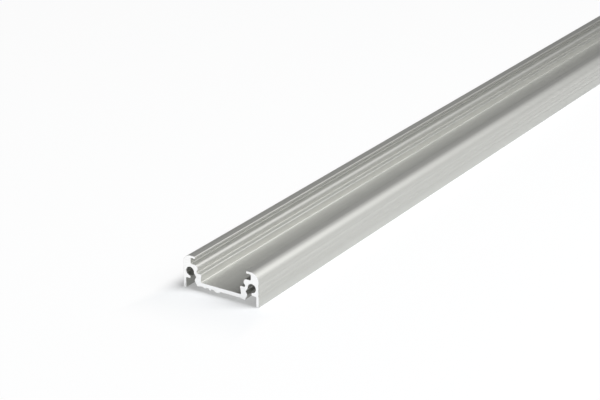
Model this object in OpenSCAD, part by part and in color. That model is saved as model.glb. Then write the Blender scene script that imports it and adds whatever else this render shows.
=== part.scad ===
// Extruded aluminium profile for a flexible light strip, one bar of stock length.
// The section lies in X and Z and runs along Y. The legs stand on Z = 0, and the bar is centred on X and Y.

/* [Bar] */
// Length of the bar
length = 500; // [50:10:3000]

/* [Strip tray] */
// Width of the light strip that lies in the tray
strip_w = 10; // [8:0.5:16]
// Gap between the strip and each wall of the tray
strip_gap = 0.1; // [0:0.05:0.4]
// Height of the tray walls above the floor
tray_depth = 2; // [1.6:0.1:3]
// How far the tray walls lean outwards at the floor
tray_undercut = 0.25; // [0:0.05:0.35]
// Thickness of the tray floor
floor_t = 0.95; // [0.7:0.05:1.3]

/* [Side heads] */
// Width of the step beside the tray
step_w = 1; // [0.7:0.05:1.6]
// Depth of the notch behind the step
notch_d = 0.3; // [0.15:0.05:0.4]
// Height of the notch's back face
notch_h = 0.5; // [0.3:0.05:0.7]
// Height of the ledge above the step
ledge_rise = 1.9; // [1.6:0.05:2.6]
// Width of the ledge that carries the cover's foot
ledge_w = 1.85; // [1.4:0.05:2.4]
// Width of the solid head from the cover groove to the outer face
head_w = 2.05; // [1.9:0.05:2.6]

/* [Cover groove and lip] */
// Clear height of the cover groove
groove_h = 1.4; // [0.9:0.05:2]
// How far the lip reaches over the groove
lip_reach = 1.2; // [0.7:0.05:1.3]
// Thickness of the lip
lip_t = 0.55; // [0.45:0.05:0.8]
// Depth of the bead under the lip's tip
bead_d = 0.06; // [0.05:0.01:0.18]
// Width of the bead under the lip's tip
bead_w = 0.45; // [0.3:0.05:0.5]

/* [Screw ports] */
// Diameter of the screw port
port_d = 2.05; // [1.7:0.05:2.3]
// Wall between the port and the outer face
port_wall = 0.78; // [0.6:0.02:0.9]
// Wall between the port and the ledge
port_roof = 0.82; // [0.6:0.02:1]
// Thickness of the hook under the port
hook_t = 0.7; // [0.5:0.05:0.9]
// How far the hook's tip reaches past the middle of the port
hook_lap = 0.1; // [0.06:0.02:0.2]
// Gap from the hook's tip to the tray's web
mouth_w = 1.12; // [0.9:0.02:1.3]
// Depth of the relief that opens the mouth towards the port
relief_d = 0.38; // [0.2:0.02:0.45]
// Height of the web's upright face beside the hook
web_face_h = 0.35; // [0.2:0.05:0.5]

/* [Legs and underside] */
// Thickness of the legs
leg_t = 0.7; // [0.5:0.05:0.9]
// Height of the floor's underside above the ground
recess_h = 1.2; // [0.9:0.05:2]
// Depth of the foot below the floor's underside
foot_drop = 0.2; // [0.1:0.02:0.4]
// How far the foot's tip leans in from the web's face
foot_lean = 0.62; // [0.4:0.02:0.8]

/* [Ribs and grooves] */
// Distance of the broad rib under the floor from the bar's middle
broad_rib_off = 1; // [0.6:0.05:1.2]
// Width of the broad rib
broad_rib_w = 1.85; // [1.2:0.05:2.2]
// Height of the broad rib
broad_rib_h = 0.44; // [0.2:0.02:0.5]
// Distance from the broad rib to the inner marker rib
marker_off = 1.85; // [1.6:0.05:2]
// Distance from the inner marker rib to the outer one
marker_pitch = 1.5; // [1.1:0.05:1.6]
// Width of each marker rib under the floor
marker_w = 0.7; // [0.7:0.05:0.9]
// Height of the inner marker rib
marker_inner_h = 0.34; // [0.15:0.01:0.34]
// Height of the outer marker rib
marker_outer_h = 0.22; // [0.1:0.01:0.34]
// Number of grooves in each outer face
face_grooves = 3; // [1:1:4]
// Width of each groove in the outer faces
face_groove_w = 0.8; // [0.4:0.05:1]
// Depth of each groove in the outer faces
face_groove_d = 0.09; // [0.03:0.01:0.15]
// Distance from one face groove to the next
face_pitch = 1.22; // [1.1:0.02:1.4]

/* [Corner radii] */
// Outer top corners
top_r = 2; // [0.5:0.1:2]
// Front edge of the ledge
ledge_r = 0.75; // [0.3:0.05:0.9]
// Front edge of the step
step_r = 0.3; // [0.1:0.05:0.45]
// Inner corners of the tray floor
tray_r = 0.25; // [0.2:0.05:0.4]
// Inner corners of the cover groove
groove_r = 0.25; // [0.1:0.05:0.5]
// Edges of the lip's tip
lip_r = 0.25; // [0.1:0.05:0.27]
// Edge of the hook's tip beside the port
tip_r = 0.15; // [0.08:0.01:0.2]
// Lower edge of the hook's tip
tip_low_r = 0.3; // [0.1:0.01:0.34]
// Small corners of the section
small_r = 0.12; // [0.05:0.01:0.2]

/* [Hidden] */

// Widest angle that one facet of a rounded corner spans
arc_step = 10;
// Largest share of an edge that one rounded corner may take
edge_share = 0.75;
// How far the mouth's upper edge runs into the port, and the hook's tip stays below it
port_meet = 0.12;
tip_drop = 0.03;
// Smoothness of the port and of the face grooves
circle_fn = 96;
// The ribs' circles reach this far into the floor
rib_root = floor_t / 2;

// Heights of the section, from the ground up
under_z = recess_h;
floor_z = under_z + floor_t;
step_z = floor_z + tray_depth;
ledge_z = step_z + ledge_rise;
lip_z = ledge_z + groove_h;
top_z = lip_z + lip_t;
foot_z = under_z - foot_drop;

// Distances from the middle of the section, outwards
tray_x = strip_w / 2 + strip_gap;
ledge_x = tray_x + step_w;
groove_x = ledge_x + ledge_w;
lip_x = groove_x - lip_reach;
outer_x = groove_x + head_w;
leg_x = outer_x - leg_t;

// Screw port, its hook and its mouth
port_r = port_d / 2;
port_x = outer_x - port_wall - port_r;
port_z = ledge_z - port_roof - port_r;
hook_z = port_z - port_r - hook_t;
tip_x = port_x - hook_lap;
tip_z = port_z - port_r - tip_drop;
web_x = tip_x - mouth_w;
relief_x = web_x - relief_d;
foot_x = web_x - foot_lean;

// Height of the middle groove in each outer face
face_z = top_z / 2;

// Unit vector from a to b
function unit(a, b) = (b - a) / norm(b - a);

// Points along an arc, from one angle to another
function arc(centre, r, from, to) =
    let (n = max(1, ceil(abs(to - from) / arc_step)))
    [for (i = [0 : n]) let (t = from + (to - from) * i / n) centre + r * [cos(t), sin(t)]];

// Corner b between its neighbours a and c, rounded with radius r where the edges leave room
function round_corner(a, b, c, r) =
    let (
        u = unit(b, a),
        v = unit(b, c),
        half = acos(u * v) / 2,
        reach = min(r / tan(half), edge_share * min(norm(a - b), norm(c - b))),
        fitted_r = reach * tan(half),
        centre = b + (u + v) / norm(u + v) * fitted_r / sin(half),
        start = b + u * reach - centre,
        turn = sign(cross(v, u)) * (180 - 2 * half),
        from = atan2(start[1], start[0])
    )
    arc(centre, fitted_r, from, from + turn);

// Outline of a list of corners, each given as [x, z, radius]
function outline(corners) =
    let (n = len(corners), at = [for (k = corners) [k[0], k[1]]])
    [for (i = [0 : n - 1]) each
        corners[i][2] > 0
            ? round_corner(at[(i + n - 1) % n], at[i], at[(i + 1) % n], corners[i][2])
            : [at[i]]];

// Tip of the hook, from its underside round to the port
function hook_tip() = [
    for (p = arc([tip_x + tip_low_r, hook_z + tip_low_r], tip_low_r, 270, 180)) [p[0], p[1], 0],
    for (p = arc([tip_x + tip_r, tip_z - tip_r], tip_r, 180, 90)) [p[0], p[1], 0]
];

// Right half of the section, from the tray floor over the lip and round under the floor
function half_corners() = [
    [tray_x + tray_undercut, floor_z, tray_r],
    [tray_x, step_z, step_r],
    [ledge_x + notch_d, step_z, small_r],
    [ledge_x + notch_d, step_z + notch_h, small_r],
    [ledge_x, step_z + notch_h + notch_d, small_r],
    [ledge_x, ledge_z, ledge_r],
    [groove_x, ledge_z, groove_r],
    [groove_x, lip_z, groove_r],
    [lip_x + bead_w + bead_d, lip_z, 0],
    [lip_x + bead_w, lip_z - bead_d, small_r],
    [lip_x, lip_z - bead_d, lip_r],
    [lip_x, top_z, lip_r],
    [outer_x, top_z, top_r],
    [outer_x, 0, small_r],
    [leg_x, 0, small_r],
    [leg_x, hook_z, small_r],
    each hook_tip(),
    [tip_x + tip_r, port_z, 0],
    [port_x - port_r + port_meet, port_z, 0],
    [relief_x, tip_z, small_r],
    [web_x, hook_z, small_r],
    [web_x, hook_z - web_face_h, small_r],
    [foot_x, foot_z, small_r],
    [tray_x, under_z, 0]
];

// Both halves of the section as one closed list of corners, counter-clockwise
function full_corners() =
    let (right = half_corners(), n = len(right))
    concat([for (k = right) [-k[0], k[1], k[2]]], [for (i = [n - 1 : -1 : 0]) right[i]]);

// Radius of a circle's segment that is w wide and h high
function segment_r(w, h) = (w * w / 4 + h * h) / (2 * h);

// One rib under the floor, at x: the part of a circle that lies below the middle of the floor
module rib(x, w, h) {
    r = segment_r(w, h);
    intersection() {
        translate([x, under_z - h + r]) circle(r, $fn = circle_fn);
        translate([x - w, 0]) square([2 * w, under_z + rib_root]);
    }
}

// The broad rib and the two marker ribs beside it
module floor_ribs() {
    rib(-broad_rib_off, broad_rib_w, broad_rib_h);
    rib(-broad_rib_off - marker_off, marker_w, marker_inner_h);
    rib(-broad_rib_off - marker_off - marker_pitch, marker_w, marker_outer_h);
}

// Grooves in the right outer face, centred on the face
module face_groove_row() {
    r = segment_r(face_groove_w, face_groove_d);
    for (i = [0 : face_grooves - 1])
        translate([outer_x - face_groove_d + r, face_z + (i - (face_grooves - 1) / 2) * face_pitch])
            circle(r, $fn = circle_fn);
}

// Cuts that each side of the section has
module side_cuts() {
    translate([port_x, port_z]) circle(port_r, $fn = circle_fn);
    face_groove_row();
}

// Whole section
module section() {
    difference() {
        union() {
            polygon(outline(full_corners()));
            floor_ribs();
        }
        side_cuts();
        mirror([1, 0]) side_cuts();
    }
}

// The extruded bar, sawn square at both ends
module profile() {
    color("silver")
        translate([0, length / 2, 0])
            rotate([90, 0, 0])
                linear_extrude(length)
                    section();
}

profile();
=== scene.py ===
import math

import bmesh
import bpy
from mathutils import Matrix, Vector
from mathutils.geometry import delaunay_2d_cdt


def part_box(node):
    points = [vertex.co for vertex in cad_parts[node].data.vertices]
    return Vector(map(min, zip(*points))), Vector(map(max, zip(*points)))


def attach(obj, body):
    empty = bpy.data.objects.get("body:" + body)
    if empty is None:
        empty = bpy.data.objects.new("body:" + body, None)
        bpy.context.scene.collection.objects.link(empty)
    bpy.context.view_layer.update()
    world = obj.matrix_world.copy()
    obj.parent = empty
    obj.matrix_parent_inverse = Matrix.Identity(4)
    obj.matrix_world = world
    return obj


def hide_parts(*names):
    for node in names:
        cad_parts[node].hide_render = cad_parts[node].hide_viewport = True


MM = 0.001

# Outline of the section
WELD = 0.001 * MM            # corners closer than this are one
CREASE = math.radians(14)    # the outline turns more than this at a real edge
FLAT = 0.5 * MM              # an edge longer than this is a flat face
ARC_STEP = math.radians(3)   # round stretches get a point this often

# Bar
RING_PITCH = 25 * MM         # longest stretch of the bar between two rings of its mesh
EDGE_BREAK = 0.045 * MM      # how far the sawn edges are broken
EDGE_STEPS = 3               # facets across a broken edge
FILL_INSIDE = 1              # tells delaunay_2d_cdt to keep only triangles inside the outline
SAWN_SLOT = 1                # the material slot of the bar's ends

# Textures: noise cells a millimetre along X, Y and Z, and layers of detail
BANDS = (0.7, 0.003, 0.7), 2       # broad stripes of colour along the bar
DIE_LINES = (4.5, 0.01, 4.5), 2    # lines that the extrusion die leaves along the bar
GRAIN = (12, 3, 12), 1             # grain of the etched surface
SAW_MARKS = (0.4, 0.4, 7), 3       # level marks across the ends
NOISE_RANGE = 0.3, 0.7             # nearly all of a noise lies between these values

# Relief
DIE_LINE_DEPTH = 0.012 * MM
GRAIN_DEPTH = 0.002 * MM
SAW_MARK_DEPTH = 0.006 * MM

# Metal: each pair of colours goes from dark to pale
VALLEY_TINTS = (0.58, 0.582, 0.555), (0.62, 0.622, 0.595)   # low in the die lines
RIDGE_TINTS = (0.63, 0.632, 0.61), (0.67, 0.672, 0.65)      # high between them
VALLEY_ROUGH, RIDGE_ROUGH = 0.58, 0.73
SAWN_TINTS = (0.92, 0.92, 0.92), (0.97, 0.97, 0.965)
SAWN_ROUGH = 0.4

# Camera, measured from the middle of the near end face, at ground level
CAMERA_PLACE = Vector((197.27, -272.78, 161.76)) * MM
CAMERA_AZIMUTH = math.radians(32.94)
CAMERA_ELEVATION = math.radians(22.44)
CAMERA_LENS, CAMERA_SENSOR = 102.6, 36   # millimetres, as Blender has them
CAMERA_CLIP = 10 * MM                    # the camera sees nothing nearer than this

# Stage
FLOOR_SIDE = 60.0            # so wide that only views from below 4 degrees see past it
FLOOR_DROP = 0.01 * MM       # the floor lies this far below the bar's feet
FLOOR_TINT = 0.89, 0.91, 0.93
WHITE_NEAR = 0.3             # share of painted glow, plain white that camera and reflections see, by the bar
WHITE_FAR = 0.92             # and away from it
WHITE_REACH = 20 * MM        # how far in front of the bar and behind it that share stops rising
SIDE_FASTER = 3.5            # it rises this many times as fast beside the bar, so the painted glow lightens the bar's shadow there

# Light: azimuth 0 is in front of the near end and 90 on its right, and lengths are metres
WORLD_LIGHT = 0.05
LIGHT_AHEAD = 0.18           # the lamps look at a place this far in front of the near end
SOFTBOXES = {
    "key": dict(azimuth=127, elevation=48, distance=0.65, size=(0.42, 0.58), radiance=6.5),
    "fill": dict(azimuth=275, elevation=18, distance=0.8, size=(0.9, 0.4), radiance=0.8),
    "front": dict(azimuth=345, elevation=8, distance=0.8, size=(0.8, 0.2), radiance=4.3),
}


def end_outline(node):
    """The outline of a CAD node's near end face as points (x, z), counter-clockwise."""
    mesh = bmesh.new()
    mesh.from_mesh(node.data)
    bmesh.ops.remove_doubles(mesh, verts=mesh.verts, dist=WELD)
    near = min(v.co.y for v in mesh.verts)
    rim = {}
    for edge in mesh.edges:
        ends = [f for f in edge.link_faces if all(v.co.y - near < WELD for v in f.verts)]
        if len(ends) == 1:
            for v in edge.verts:
                rim.setdefault(v, []).append(edge.other_vert(v))
    start = min(rim, key=lambda v: (v.co.z, v.co.x))
    walk = [start, rim[start][0]]
    while walk[-1] != start:
        one, other = rim[walk[-1]]
        walk.append(other if one == walk[-2] else one)
    points = [Vector((v.co.x, v.co.z)) for v in walk[:-1]]
    mesh.free()
    area = sum(a.cross(b) for a, b in zip(points, points[1:] + points[:1]))
    return points if area > 0 else points[::-1]


def tangents(points):
    """At each point of the outline, the direction it comes in by and the one it leaves by."""
    found = []
    for i, b in enumerate(points):
        before, after = b - points[i - 1], points[(i + 1) % len(points)] - b
        crease = abs(before.angle_signed(after)) > CREASE
        if crease or min(before.length, after.length) > FLAT:
            found.append((before.normalized(), after.normalized()))
        else:
            # The longer neighbour counts more, so that an arc leaves a flat face without a kink
            smooth = (before * before.length + after * after.length).normalized()
            found.append((smooth, smooth))
    return found


def smooth_outline(points):
    """The same outline with more points on its round stretches."""
    directions = tangents(points)
    fine = []
    for i, a in enumerate(points):
        j = (i + 1) % len(points)
        b, leave, arrive = points[j], directions[i][1], directions[j][0]
        chord = (b - a).length
        steps = max(1, math.ceil(leave.angle(arrive) / ARC_STEP))
        for k in range(steps):
            t = k / steps
            fine.append(
                a * (2 * t**3 - 3 * t**2 + 1)
                + leave * (chord * (t**3 - 2 * t**2 + t))
                + b * (3 * t**2 - 2 * t**3)
                + arrive * (chord * (t**3 - t**2))
            )
    return fine


def inset(points, distance):
    """The outline moved inwards by a distance, with mitred corners."""
    moved = []
    for i, b in enumerate(points):
        before = (b - points[i - 1]).normalized()
        after = (points[(i + 1) % len(points)] - b).normalized()
        inward = Vector((-before.y, before.x)) + Vector((-after.y, after.x))
        moved.append(b + inward * (distance / (1 + before.dot(after))))
    return moved


def ring_places(near, far):
    """Pairs of a place along the bar and how far the section is inset there."""
    broken = []
    for k in range(EDGE_STEPS + 1):
        angle = math.pi / 2 * k / EDGE_STEPS
        broken.append((EDGE_BREAK * (1 - math.sin(angle)), EDGE_BREAK * (1 - math.cos(angle))))
    start = sorted((near + depth, step) for depth, step in broken)
    end = sorted((far - depth, step) for depth, step in broken)
    length = end[0][0] - start[-1][0]
    spans = math.ceil(length / RING_PITCH)
    middle = [(start[-1][0] + length * k / spans, 0.0) for k in range(1, spans)]
    return start + middle + end


def end_triangles(outline):
    """Corner numbers of triangles that fill a counter-clockwise outline."""
    corners = [p / MM for p in outline]
    loop = list(range(len(corners)))
    found = delaunay_2d_cdt(corners, [], [loop], FILL_INSIDE, WELD / MM)
    from_outline = [numbers[0] for numbers in found[3]]
    return [[from_outline[i] for i in triangle] for triangle in found[2]]


def make_bar(node, name):
    """The bar as one closed mesh along the CAD node."""
    low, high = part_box(node.name)
    outline = smooth_outline(end_outline(node))
    mesh = bmesh.new()
    rings = []
    for y, step in ring_places(low.y, high.y):
        rings.append([mesh.verts.new((p.x, y, p.y)) for p in inset(outline, step)])
    count = len(outline)
    for one, other in zip(rings, rings[1:]):
        for i in range(count):
            j = (i + 1) % count
            face = mesh.faces.new((one[j], one[i], other[i], other[j]))
            face.smooth = True
    for triangle in end_triangles(inset(outline, EDGE_BREAK)):
        for ring, corners in ((rings[0], triangle), (rings[-1], triangle[::-1])):
            face = mesh.faces.new([ring[i] for i in corners])
            face.material_index = SAWN_SLOT
    data = bpy.data.meshes.new(name)
    mesh.to_mesh(data)
    mesh.free()
    data.set_sharp_from_angle(angle=CREASE)
    bar = bpy.data.objects.new(name, data)
    bpy.context.scene.collection.objects.link(bar)
    weighted = bar.modifiers.new("weighted_normals", "WEIGHTED_NORMAL")
    weighted.keep_sharp = True
    return bar


def new_material(name):
    """A new material, its node tree and its shader."""
    material = bpy.data.materials.new(name)
    material.use_nodes = True
    tree = material.node_tree
    return material, tree, tree.nodes["Principled BSDF"]


def feed(tree, socket, value):
    """Links another node's output to a socket, or sets the socket to a plain value."""
    if isinstance(value, bpy.types.NodeSocket):
        tree.links.new(value, socket)
    else:
        socket.default_value = value


def calculate(tree, operation, one, other=0.0):
    """A Math node's result."""
    node = tree.nodes.new("ShaderNodeMath")
    node.operation = operation
    feed(tree, node.inputs[0], one)
    feed(tree, node.inputs[1], other)
    return node.outputs["Value"]


def spread(tree, value, source, target, interpolation="LINEAR"):
    """A value moved from a source range to a target range, each given as low and high."""
    node = tree.nodes.new("ShaderNodeMapRange")
    node.interpolation_type = interpolation
    feed(tree, node.inputs["Value"], value)
    for socket, number in zip(("From Min", "From Max", "To Min", "To Max"), (*source, *target)):
        feed(tree, node.inputs[socket], number)
    return node.outputs["Result"]


def mix(tree, factor, one, other):
    """A colour that goes from one to the other as the factor goes from 0 to 1."""
    node = tree.nodes.new("ShaderNodeMix")
    node.data_type = "RGBA"
    feed(tree, node.inputs["Factor"], factor)
    feed(tree, node.inputs["A"], one)
    feed(tree, node.inputs["B"], other)
    return node.outputs["Result"]


def noise(tree, per_mm, detail):
    """Noise on the object's own coordinates, with per_mm cells a millimetre along X, Y and Z."""
    place = tree.nodes.new("ShaderNodeTexCoord")
    scale = tree.nodes.new("ShaderNodeMapping")
    node = tree.nodes.new("ShaderNodeTexNoise")
    feed(tree, scale.inputs["Scale"], [n / MM for n in per_mm])
    feed(tree, scale.inputs["Vector"], place.outputs["Object"])
    feed(tree, node.inputs["Vector"], scale.outputs["Vector"])
    feed(tree, node.inputs["Scale"], 1)
    feed(tree, node.inputs["Detail"], detail)
    return node.outputs["Fac"]


def tinted(tree, value, tints):
    """The colour between two tints that a noise picks."""
    dark, pale = tints
    return mix(tree, spread(tree, value, NOISE_RANGE, (0, 1)), (*dark, 1), (*pale, 1))


def bump(tree, height, depth, below=None):
    """The surface's normal with a relief of a depth in metres, over the one below it."""
    node = tree.nodes.new("ShaderNodeBump")
    feed(tree, node.inputs["Height"], height)
    feed(tree, node.inputs["Distance"], depth)
    if below:
        feed(tree, node.inputs["Normal"], below)
    return node.outputs["Normal"]


def anodised_material():
    """Satin anodised aluminium, with faint lines that the extrusion die left along the bar."""
    material, tree, shader = new_material("anodised_aluminium")
    bands = noise(tree, *BANDS)
    lines = noise(tree, *DIE_LINES)
    valleys, ridges = tinted(tree, bands, VALLEY_TINTS), tinted(tree, bands, RIDGE_TINTS)
    drawn = bump(tree, lines, DIE_LINE_DEPTH)
    etched = bump(tree, noise(tree, *GRAIN), GRAIN_DEPTH, drawn)
    rough = spread(tree, lines, (0, 1), (VALLEY_ROUGH, RIDGE_ROUGH))
    feed(tree, shader.inputs["Metallic"], 1)
    feed(tree, shader.inputs["Base Color"], mix(tree, lines, valleys, ridges))
    feed(tree, shader.inputs["Roughness"], rough)
    feed(tree, shader.inputs["Normal"], etched)
    return material


def sawn_material():
    """Bare aluminium as a fine saw blade leaves it."""
    material, tree, shader = new_material("sawn_aluminium")
    marks = noise(tree, *SAW_MARKS)
    feed(tree, shader.inputs["Metallic"], 1)
    feed(tree, shader.inputs["Base Color"], tinted(tree, marks, SAWN_TINTS))
    feed(tree, shader.inputs["Roughness"], SAWN_ROUGH)
    feed(tree, shader.inputs["Normal"], bump(tree, marks, SAW_MARK_DEPTH))
    return material


def painted_glow_share(tree, low, high):
    """How much plain white the floor shows round a bar that fills the box from low to high.

    By the bar this painted glow is little, so that the real shadow stays; beside the bar it rises
    fast and lightens the outer part of the shadow.
    """
    place = tree.nodes.new("ShaderNodeNewGeometry")
    axes = tree.nodes.new("ShaderNodeSeparateXYZ")
    feed(tree, axes.inputs["Vector"], place.outputs["Position"])
    beside = calculate(tree, "ABSOLUTE", axes.outputs["X"])
    beside = calculate(tree, "SUBTRACT", beside, high.x)
    beside = calculate(tree, "MULTIPLY", beside, SIDE_FASTER)
    ahead = calculate(tree, "SUBTRACT", low.y, axes.outputs["Y"])
    behind = calculate(tree, "SUBTRACT", axes.outputs["Y"], high.y)
    away = calculate(tree, "MAXIMUM", beside, calculate(tree, "MAXIMUM", ahead, behind))
    return spread(tree, away, (0, WHITE_REACH), (WHITE_NEAR, WHITE_FAR), "SMOOTHSTEP")


def floor_material(low, high):
    """Matt white, part of it as painted glow: plain white that only the camera and reflections see.
    """
    material, tree, paint = new_material("floor_paint_and_glow")
    feed(tree, paint.inputs["Base Color"], (*FLOOR_TINT, 1))
    feed(tree, paint.inputs["Roughness"], 1)
    feed(tree, paint.inputs["Specular IOR Level"], 0)
    ray = tree.nodes.new("ShaderNodeLightPath").outputs
    seen = calculate(tree, "MAXIMUM", ray["Is Camera Ray"], ray["Is Glossy Ray"])
    seen = calculate(tree, "MAXIMUM", seen, ray["Is Transmission Ray"])
    # Painted glow: plain white light that the floor gives off itself, not a lamp, seen by the
    # camera and in reflections
    white = tree.nodes.new("ShaderNodeEmission")
    both = tree.nodes.new("ShaderNodeMixShader")
    share = calculate(tree, "MULTIPLY", seen, painted_glow_share(tree, low, high))
    feed(tree, both.inputs["Fac"], share)
    feed(tree, both.inputs[1], paint.outputs["BSDF"])
    feed(tree, both.inputs[2], white.outputs["Emission"])
    feed(tree, tree.nodes["Material Output"].inputs["Surface"], both.outputs["Shader"])
    material.cycles.emission_sampling = "NONE"
    return material


def make_floor(low, high):
    """A plain pale floor under a bar that fills the box from low to high."""
    mesh = bmesh.new()
    bmesh.ops.create_grid(mesh, size=FLOOR_SIDE / 2, matrix=Matrix.Translation((0, 0, -FLOOR_DROP)))
    data = bpy.data.meshes.new("floor")
    mesh.to_mesh(data)
    mesh.free()
    floor = bpy.data.objects.new("floor", data)
    bpy.context.scene.collection.objects.link(floor)
    data.materials.append(floor_material(low, high))


def make_softbox(name, aim, azimuth, elevation, distance, size, radiance):
    """A rectangular studio light that looks at aim from a distance, at two angles in degrees."""
    a, e = math.radians(azimuth), math.radians(elevation)
    out = Vector((math.sin(a) * math.cos(e), -math.cos(a) * math.cos(e), math.sin(e)))
    lamp = bpy.data.lights.new(name, "AREA")
    lamp.shape = "RECTANGLE"
    lamp.size, lamp.size_y = size
    lamp.energy = radiance * math.pi * lamp.size * lamp.size_y
    light = bpy.data.objects.new(name, lamp)
    light.location = aim + out * distance
    light.rotation_mode = "QUATERNION"
    light.rotation_quaternion = (-out).to_track_quat("-Z", "Y")
    bpy.context.scene.collection.objects.link(light)


def make_world():
    """Faint even light from all round."""
    world = bpy.data.worlds.new("studio")
    world.use_nodes = True
    background = world.node_tree.nodes["Background"]
    background.inputs["Color"].default_value = (1, 1, 1, 1)
    background.inputs["Strength"].default_value = WORLD_LIGHT
    bpy.context.scene.world = world


def make_camera(near_end):
    """The camera at the photograph's place; the bar's near end lies at near_end along Y."""
    lens = bpy.data.cameras.new("camera")
    lens.lens = CAMERA_LENS
    lens.sensor_width = CAMERA_SENSOR
    lens.clip_start = CAMERA_CLIP
    camera = bpy.data.objects.new("camera", lens)
    camera.location = CAMERA_PLACE + Vector((0, near_end, 0))
    camera.rotation_euler = (math.pi / 2 - CAMERA_ELEVATION, 0, CAMERA_AZIMUTH)
    bpy.context.scene.collection.objects.link(camera)
    bpy.context.scene.camera = camera


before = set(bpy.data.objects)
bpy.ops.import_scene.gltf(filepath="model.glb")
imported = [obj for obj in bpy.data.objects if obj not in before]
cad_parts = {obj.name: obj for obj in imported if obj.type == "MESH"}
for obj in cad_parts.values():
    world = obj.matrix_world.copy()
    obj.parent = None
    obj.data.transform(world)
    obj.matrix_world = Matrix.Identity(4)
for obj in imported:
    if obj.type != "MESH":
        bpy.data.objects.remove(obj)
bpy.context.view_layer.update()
bpy.context.scene.view_settings.view_transform = "Standard"

low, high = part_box("profile")
make_camera(low.y)
make_floor(low, high)
make_world()
lit_place = Vector((0, low.y - LIGHT_AHEAD, 0))
for name, settings in SOFTBOXES.items():
    make_softbox(name, lit_place, **settings)

bar = make_bar(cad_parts["profile"], "profile_bar")
bar.data.materials.append(anodised_material())
bar.data.materials.append(sawn_material())
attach(bar, "root")
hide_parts("profile")
